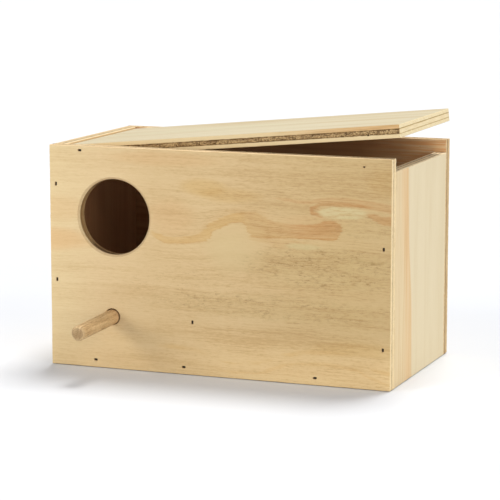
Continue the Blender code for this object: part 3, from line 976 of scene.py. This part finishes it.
    # the arch at the upper right, pale under it, with red ends
    top = k.curve(xj, [(174, 133.8), (186, 133.2), (200, 131.8), (212, 133.6), (226, 134.2), (240, 133.2),
                      (252, 131.6), (265, 130)])
    thick = k.curve(x, [(174, 0.3), (186, 1.0), (200, 1.2), (215, 1.8), (235, 2.5), (265, 3.2)])
    ledge = k.step((ze - top).abs() - thick, 0.8, -0.6) * k.step(x, 173.0, 182.0)
    colour = k.tint(colour, ledge * uneven, 0.94, 0.83, 0.755)
    hook = None
    trail = [(252, 130.4), (240, 131.2), (224, 131.4), (212, 130.6), (205.5, 127.8), (206.0, 124.4), (213, 122.6)]
    for (ax, ay), (bx, by) in zip(trail, trail[1:]):
        length2 = (bx - ax) ** 2 + (by - ay) ** 2
        share = (((xw * 0.25 + x * 0.75 - ax) * (bx - ax) + (ze - ay) * (by - ay)) * (1.0 / length2)).clamp()
        gx, gy = x - ax - share * (bx - ax), ze - ay - share * (by - ay)
        far = gx * gx + gy * gy
        hook = far if hook is None else hook.low(far)
    line = k.step(hook, 2.6, 0.2) * k.step(x, 254.0, 244.0)
    colour = k.tint(colour, line * 0.85, 0.91, 0.77, 0.66)
    colour = k.tint(colour, k.blob(x, ze, 208.0, 126.4, 4.2, 3.4, 0.6) * 0.5, 0.94, 0.82, 0.74)
    patchy = k.step(k.noise(x * 0.10, z * 0.55, 44.0, 3.0, 0.65), 0.40, 0.54, 0.25, 1.0)
    colour = k.mix(k.blob(xj, ze, 229, 125.4, 18, 4.2, 0.4) * 0.85 * patchy, colour, lin(204, 188, 141))
    tail = k.curve(xj, [(245, 126), (252, 123.6), (258, 121.8), (265, 121.4)])
    wide = k.curve(xj, [(245, 0.3), (252, 2.2), (259, 3.0), (265, 3.4)])
    flame = k.step((ze - tail).abs() - wide, 0.7, -0.5) * k.step(x, 243.0, 249.0)
    colour = k.tint(colour, flame * 0.9, 0.93, 0.79, 0.69)

    # wavy late wood near the foot
    lick = k.step((ze - low).abs(), 2.6, 0.4) * k.step(x, 80.0, 100.0, 0.0, 0.75) * k.step(
        k.noise(x * 0.03, z * 0.1, 5.5, 1.0), 0.36, 0.56)
    colour = k.tint(colour, lick, 0.955, 0.885, 0.775)
    lick2 = k.step((ze - low + 8.0 + n1 * 6.0).abs(), 1.8, 0.3) * k.step(x, 120.0, 150.0, 0.0, 0.5)
    colour = k.tint(colour, lick2, 0.965, 0.90, 0.80)
    colour = k.tint(colour, k.blob(xw, zw, 238, 28, 30, 5, 0.8) * 0.5, *gold)

    # rougher, greyer wood with short dark dashes
    rough_a = k.blob(xw, zw, 216, 85, 58, 15, 0.7)
    rough_b = k.blob(xw, zw, 176, 54, 84, 9, 0.8)
    rough_c = k.blob(xw, zw, 240, 116, 34, 8, 0.7)
    mottle = rough_a.high(rough_b * 0.75).high(rough_c * 0.5)
    colour = k.tint(colour, mottle * 0.8, 0.955, 0.96, 0.925)
    cluster = k.step(k.noise(x * 0.062, z * 0.20, 21.0, 2.0, 0.6), 0.36, 0.66, 0.15, 1.0)
    blot = k.noise(x * 0.21, z * 0.54 + x * 0.010, 7.7, 4.0, 0.80)
    dash = k.step(blot, 0.47, 0.66) * mottle * cluster
    colour = k.tint(colour, dash, 0.67, 0.62, 0.53)
    fleck_n = k.noise(x * 0.30, z * 1.00, 15.5, 3.0, 0.75)
    fleck = k.step(fleck_n, 0.56, 0.69) * (
        mottle * cluster + k.blob(xw, zw, 108, 66, 44, 14, 0.8) * 0.45 + 0.16).clamp()
    colour = k.tint(colour, fleck * 0.85, 0.65, 0.58, 0.48)
    dark_line = k.step((ze - k.curve(x, [(236, 93), (244, 92), (254, 91), (262, 92.5)])).abs(), 1.3, 0.2) * k.step(
        x, 235.0, 240.0) * k.step(x, 264.0, 258.0)
    colour = k.tint(colour, dark_line * 0.45, 0.72, 0.68, 0.55)

    inner = plain_face(SHADED_INNER, 71.0, 22.0, 3.5)(k, u, v, w)
    outside = k.step(w, -0.5, 0.5)
    height = hair * 0.6 + ring * 0.25 + thin * 0.15 - dash * 0.25 - fleck * 0.3
    return (k.mix(outside, inner[0], colour),
            k.math("ADD", height * outside, inner[1] * (1.0 - outside)))


# ---- the right-hand face -----------------------------------------------------
def right_face(k, u, v, w):
    z, y = u + right_s.z / 2, right_s.y / 2 - v         # height, and from the front
    n = (k.noise(z * 0.03, y * 0.15, 2.2, 2.0) - 0.5) * 2.0
    border = k.curve(z, [(0, 41.5), (10, 41), (40, 40.5), (60, 39.2), (75, 37), (95, 33.6),
                         (110, 32), (125, 31), (140, 30.3), (155, 30)])
    d = border - (y + n * 0.6)                          # above 0 on the front side
    ring = k.noise(z * 0.006, (y + n * 1.6) * 0.42, 4.4, 3.0, 0.62)
    thin = k.noise(z * 0.016, (y + n) * 1.2, 8.4, 2.0, 0.6)
    broad = k.noise(z * 0.012, y * 0.09, 6.1, 2.0)
    hair = fibres(k, u, v, 3.9)
    pale = k.ramp(broad * 0.5 + ring * 0.3 + thin * 0.2,
                  [(0.30, (230, 214, 179)), (0.5, (227, 211, 175)), (0.70, (222, 203, 163))])
    cream = k.ramp(ring * 0.6 + thin * 0.4,
                   [(0.36, (231, 210, 168)), (0.5, (227, 204, 161)), (0.64, (221, 192, 145))])
    band = k.step(d, 22.0, 9.0) * k.step(k.noise(z * 0.013, y * 0.12, 12.4, 2.0), 0.30, 0.60, 0.55, 1.0)
    cream = k.mix(band * 0.85, cream, k.ramp(thin * 0.5 + ring * 0.5, [
        (0.36, (229, 198, 151)), (0.52, (225, 189, 138)), (0.64, (216, 175, 120))]))
    colour = k.mix(k.step(d, -1.8, 1.8), pale, cream)
    colour = k.tint(colour, k.step((d - 2.6).abs(), 3.6, 0.3) * 0.55, 0.965, 0.91, 0.85)
    colour = k.tint(colour, k.step(y, 98.0, 122.0) * 0.6, 0.965, 0.945, 0.90)
    colour = k.tint(colour, k.step(thin, 0.56, 0.68) * k.step(d, -4.0, 2.0, 0.12, 0.35), 0.94, 0.90, 0.84)
    colour = k.tint(colour, k.step(hair, 0.42, 0.70) * 0.12, 0.87, 0.82, 0.75)
    pore = k.step(k.noise(z * 0.15, y * 1.8, 17.0, 2.0, 0.6), 0.66, 0.78)
    colour = k.tint(colour, pore * 0.3, 0.80, 0.72, 0.62)
    inner = plain_face(SHADED_INNER, 83.0, 18.0, 3.5)(k, u, v, w)
    outside = k.step(w, -0.5, 0.5)
    height = hair * 0.7 + ring * 0.3 - pore * 0.3
    return (k.mix(outside, inner[0], colour), height * outside + inner[1] * (1.0 - outside))


# ---- the lid's top -----------------------------------------------------------
def lid_face(k, u, v, w):
    y = v + lid_s[1] / 2                                # from the front edge
    bend = (k.noise(u * 0.008, v * 0.03, 5.0, 1.5) - 0.5) * 9.0
    t = y + bend
    broad = k.noise(u * 0.006, t * 0.07, 2.5, 2.0)
    ring = k.noise(u * 0.0055, t * 0.30, 7.1, 3.0, 0.6)
    thin = k.noise(u * 0.017, t * 1.1, 11.0, 2.0, 0.6)
    hair = fibres(k, u, v, 14.0)
    tone = broad * 0.45 + ring * 0.35 + thin * 0.2
    colour = k.ramp(tone, [(0.34, (209, 200, 172)), (0.46, (205, 194, 164)), (0.56, (200, 186, 153)),
                           (0.66, (192, 172, 131))])
    back_band = k.step(t, 92.0, 112.0) * 0.55
    colour = k.tint(colour, back_band, 0.94, 0.88, 0.80)
    lip = k.step(y + (broad - 0.5) * 5.0, 7.0, 0.5)
    colour = k.tint(colour, lip * 0.8, 0.93, 0.85, 0.74)
    colour = k.tint(colour, k.blob(u, t, -55, 66, 80, 14, 0.8) * 0.5, 0.965, 0.99, 0.965)
    colour = k.tint(colour, k.step(hair, 0.42, 0.70) * 0.12, 0.87, 0.83, 0.76)
    pore = k.step(k.noise(u * 0.14, v * 1.8, 27.0, 2.0, 0.6), 0.66, 0.78)
    colour = k.tint(colour, pore * 0.28, 0.80, 0.73, 0.62)
    # The lid's underside: a darker, redder copy of the veneer, painted shade.
    inner = plain_face([(208, 176, 128), (190, 156, 108), (168, 132, 86)], 93.0, 18.0, 3.5)(k, u, v, w)
    outside = k.step(w, -0.5, 0.5)
    height = hair * 0.7 + ring * 0.3 - pore * 0.3
    return (k.mix(outside, inner[0], colour), height * outside + inner[1] * (1.0 - outside))


def back_face(k, u, v, w):
    """Outside, the same rotary-cut pine as the front, in long shallow loops."""
    outside = k.step(w, -0.5, 0.5)
    bend = (k.noise(u * 0.007, v * 0.022, 12.0, 2.0) - 0.5) * 26.0
    t = v + bend
    broad = k.noise(u * 0.006, t * 0.06, 13.0, 2.0)
    ring = k.noise(u * 0.008, t * 0.30, 14.0, 3.0, 0.62)
    thin = k.noise(u * 0.030, t * 1.1, 15.0, 3.0, 0.65)
    hair = fibres(k, u, v, 16.0)
    tick = k.noise(u * 0.20, v * 0.90, 17.0, 4.0, 0.75)
    base = k.ramp(broad, [(0.34, (226, 201, 155)), (0.50, (217, 189, 141)), (0.66, (206, 176, 127))])
    dark = (ring - 0.5) * 0.45 + (thin - 0.5) * 0.45 + (tick - 0.5) * 0.55 + (hair - 0.5) * 0.35
    colour = k.tint(base, k.step(dark, -0.04, 0.26), 0.90, 0.85, 0.79)
    colour = k.tint(colour, k.step(dark, 0.04, -0.26), 1.045, 1.07, 1.10)
    late = k.step((k.noise(u * 0.006, t * 0.075, 19.0, 2.0) - 0.5).abs(), 0.030, 0.006)
    colour = k.tint(colour, late * k.step(thin, 0.36, 0.60, 0.4, 1.0) * 0.9, 0.945, 0.85, 0.74)
    blot = k.noise(u * 0.21, v * 0.54, 18.0, 4.0, 0.80)
    mottle = k.blob(u, v, 40, -18, 85, 26, 0.9)
    colour = k.tint(colour, k.step(blot, 0.48, 0.66) * mottle * 0.8, 0.66, 0.61, 0.51)
    # The inner face: a darker, redder copy of the veneer, painted shade.
    within = plain_face([(200, 152, 104), (186, 136, 90), (170, 116, 74)], 12.0, 22.0, 4.0)(k, u, v, w)
    colour = k.mix(outside, within[0], colour)
    height = (hair * 0.6 + ring * 0.25 + thin * 0.15) * outside + within[1] * (1.0 - outside)
    # The inner face towards the right-hand end: partly an orange flame figure, partly painted light where light enters
    # between lid and box.
    drift = (k.noise(u * 0.03, v * 0.12, 3.0, 3.0) - 0.5) * 40.0
    warm = k.step(u + drift + v * 0.25, -40.0, -118.0) * k.step(w, 0.5, -0.5)
    flame = k.step(k.noise(u * 0.02, v * 0.5, 6.0, 3.0, 0.65), 0.40, 0.58)
    colour = k.mix(warm * 0.9, colour, k.mix(flame, lin(252, 217, 168), lin(240, 182, 124)))
    return colour, height


def left_face(k, u, v, w):
    colour, height = plain_face([(236, 214, 172), (226, 200, 154), (212, 180, 130)],
                                29.0, 14.0, 3.2, inside=SHADED_NEST)(k, u, v, w)
    # Painted light: a lighter band along the top of the inner face, where the painted shade of the inside lifts.
    rim = k.step(u, left_s.z / 2 - 26.0, left_s.z / 2 - 6.0) * k.step(w, 0.5, -0.5)
    # Painted shade: the inner face darker towards the front, beside the entrance.
    colour = k.tint(colour, k.step(v, 30.0, -78.0) * k.step(w, 0.5, -0.5), 0.70, 0.66, 0.62)
    return k.mix(rim * 0.9, colour, lin(240, 208, 158)), height


materials = {
    "front_panel": plywood("front_plywood", front_face, FRONT_EDGES, 2.0),
    "back_panel": plywood("back_plywood", back_face, BACK_EDGES, 21.0),
    "left_side_panel": plywood("left_plywood", left_face, SIDE_EDGES, 33.0),
    "right_side_panel": plywood("right_plywood", right_face, RIGHT_EDGES_PAINTED_LIGHT, 45.0),
    "floor_panel": plywood("floor_plywood", plain_face(
        SHADED_INNER, 51.0, 24.0, 4.2), EDGES, 57.0),
    "nest_divider": plywood("divider_plywood", plain_face(
        SHADED_NEST, 64.0, 16.0, 3.4), EDGES, 68.0),
    "lid": plywood("lid_plywood", lid_face, LID_EDGES, 79.0),
}


def hardwood():
    """The perch: open-grained, tan-brown, with greyish sawn ends."""
    k = Kit("perch_wood")
    (x, y, z), (nx, ny, nz) = k.place()
    torn = k.pit()
    end = k.step(nz.abs(), 0.75, 0.93)
    bend = (k.noise(x * 0.1, y * 0.1, z * 0.015, 1.0) - 0.5) * 3.0
    ring = k.noise((x + bend) * 0.75, y * 0.12, z * 0.012, 3.0, 0.6)
    streak = k.noise(x * 1.4, y * 1.4, z * 0.05, 3.0, 0.65)
    fleck = k.noise(x * 0.9, y * 0.9, z * 0.34, 3.0, 0.7)
    tone = ring * 0.38 + streak * 0.36 + fleck * 0.26
    colour = k.ramp(tone, [(0.32, (224, 197, 151)), (0.46, (208, 178, 132)), (0.58, (186, 154, 109)),
                           (0.70, (154, 122, 82))])
    foot = k.step(z, 30.0, 12.0)
    colour = k.tint(colour, foot * 0.8, 1.0, 0.93, 0.90)
    pore = k.step(k.noise(x * 3.2, y * 3.2, z * 0.16, 2.0, 0.6), 0.60, 0.70)
    colour = k.tint(colour, pore * 0.65, 0.62, 0.54, 0.46)
    colour = k.tint(colour, k.step(fleck, 0.56, 0.72) * 0.7, 0.72, 0.64, 0.55)
    colour = k.tint(colour, (torn * 0.8).clamp(), 0.66, 0.58, 0.50)
    vessel = k.step(k.cells(x * 2.0, y * 2.0, z * 0.02), 0.30, 0.16)
    saw = k.noise(x * 0.5, y * 3.0, 4.0, 2.0)
    cut = k.ramp(ring * 0.5 + saw * 0.5, [(0.36, (196, 168, 125)), (0.5, (173, 145, 104)), (0.64, (146, 119, 82))])
    cut = k.tint(cut, k.blob(x, y, 0.6, -0.4, 3.4, 3.0, 0.7) * 0.55, 0.80, 0.73, 0.65)
    cut = k.tint(cut, vessel * 0.7, 0.5, 0.42, 0.36)
    colour = k.mix(end, colour, cut)
    k.bump(streak * 0.5 - pore * 0.5 - vessel * end * 0.4, 0.00025, 0.6)
    return k.finish(colour, k.step(streak, 0.3, 0.7, 0.52, 0.68), 0.3)


def steel():
    """Brads: dark coated wire, scuffed by the driver."""
    k = Kit("brad_steel")
    (x, y, z), _ = k.place()
    fine = k.noise(x * 2.2, y * 2.2, z * 2.2, 3.0, 0.6)
    scuff = k.step(k.noise(x * 5.0, y * 0.6, z * 5.0, 2.0), 0.58, 0.70)
    colour = k.ramp(fine, [(0.35, (20, 16, 12)), (0.55, (30, 24, 18)), (0.7, (46, 37, 28))])
    colour = k.mix(scuff * 0.25, colour, lin(104, 92, 78))
    k.bump(fine, 0.00006, 0.5)
    k.bsdf.inputs["Metallic"].default_value = 0.35
    return k.finish(colour, k.step(fine, 0.3, 0.7, 0.38, 0.58), 0.4)


materials["perch_dowel"] = hardwood()
brad_steel = steel()

for node, obj in pieces.items():
    obj.data.materials.clear()
    obj.data.materials.append(materials[node])
    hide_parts(node)
    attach(obj, "lid" if node == "lid" else "box")
for node, obj in frame["nodes"].items():
    if "_brad" in node:
        obj.data.materials.clear()
        obj.data.materials.append(brad_steel)

# ---- floor, light and camera -------------------------------------------------
floor_mesh = bpy.data.meshes.new("studio_floor")
floor_mesh.from_pydata([(-6, -6, -0.0004), (6, -6, -0.0004), (6, 9, -0.0004), (-6, 9, -0.0004)],
                       [], [(0, 1, 2, 3)])
studio_floor = bpy.data.objects.new("studio_floor", floor_mesh)
scene.collection.objects.link(studio_floor)
paper = Kit("studio_paper")
(px, py, pz), _ = paper.place()
sheet = paper.noise(px * 0.004, py * 0.004, 0.0, 2.0)
studio_floor.data.materials.append(paper.finish(
    paper.mix(paper.step(sheet, 0.3, 0.7), (0.735, 0.755, 0.785, 1), (0.75, 0.77, 0.80, 1)), 0.85, 0.1))

world = bpy.data.worlds.new("studio")
world.use_nodes = True
world.node_tree.nodes["Background"].inputs[0].default_value = (0.90, 0.97, 1.10, 1.0)
world.node_tree.nodes["Background"].inputs[1].default_value = 0.35
scene.world = world


def soft_sun(name, azimuth, elevation, spread, strength, colour=(1, 1, 1)):
    """Even light from azimuth (0 in front of the box, 90 on its right), spread in degrees."""
    light = bpy.data.lights.new(name, "SUN")
    light.angle = math.radians(spread)
    light.energy = strength * math.pi
    light.color = colour
    a, e = math.radians(azimuth), math.radians(elevation)
    source = Vector((math.sin(a) * math.cos(e), -math.cos(a) * math.cos(e), math.sin(e)))
    obj = bpy.data.objects.new(name, light)
    obj.rotation_euler = (-source).to_track_quat("-Z", "Y").to_euler()
    obj.location = source * 2.0
    scene.collection.objects.link(obj)
    return obj


soft_sun("key", -43, 20, 30, 0.38, (1.05, 1.0, 0.93))
soft_sun("overhead", 172, 69, 24, 0.84, (1.03, 1.0, 0.96))
soft_sun("side", 61, 18, 50, 0.40, (1.05, 1.0, 0.93))

camera = bpy.data.cameras.new("camera")
camera.sensor_width = 36.0
camera.lens = 158.491
camera_obj = bpy.data.objects.new("camera", camera)
camera_obj.location = (0.587695, -1.526990, 0.348615)
camera_obj.rotation_euler = (math.radians(80.7709), 0.0, math.radians(21.1017))
scene.collection.objects.link(camera_obj)
scene.camera = camera_obj
scene.view_settings.view_transform = "Standard"
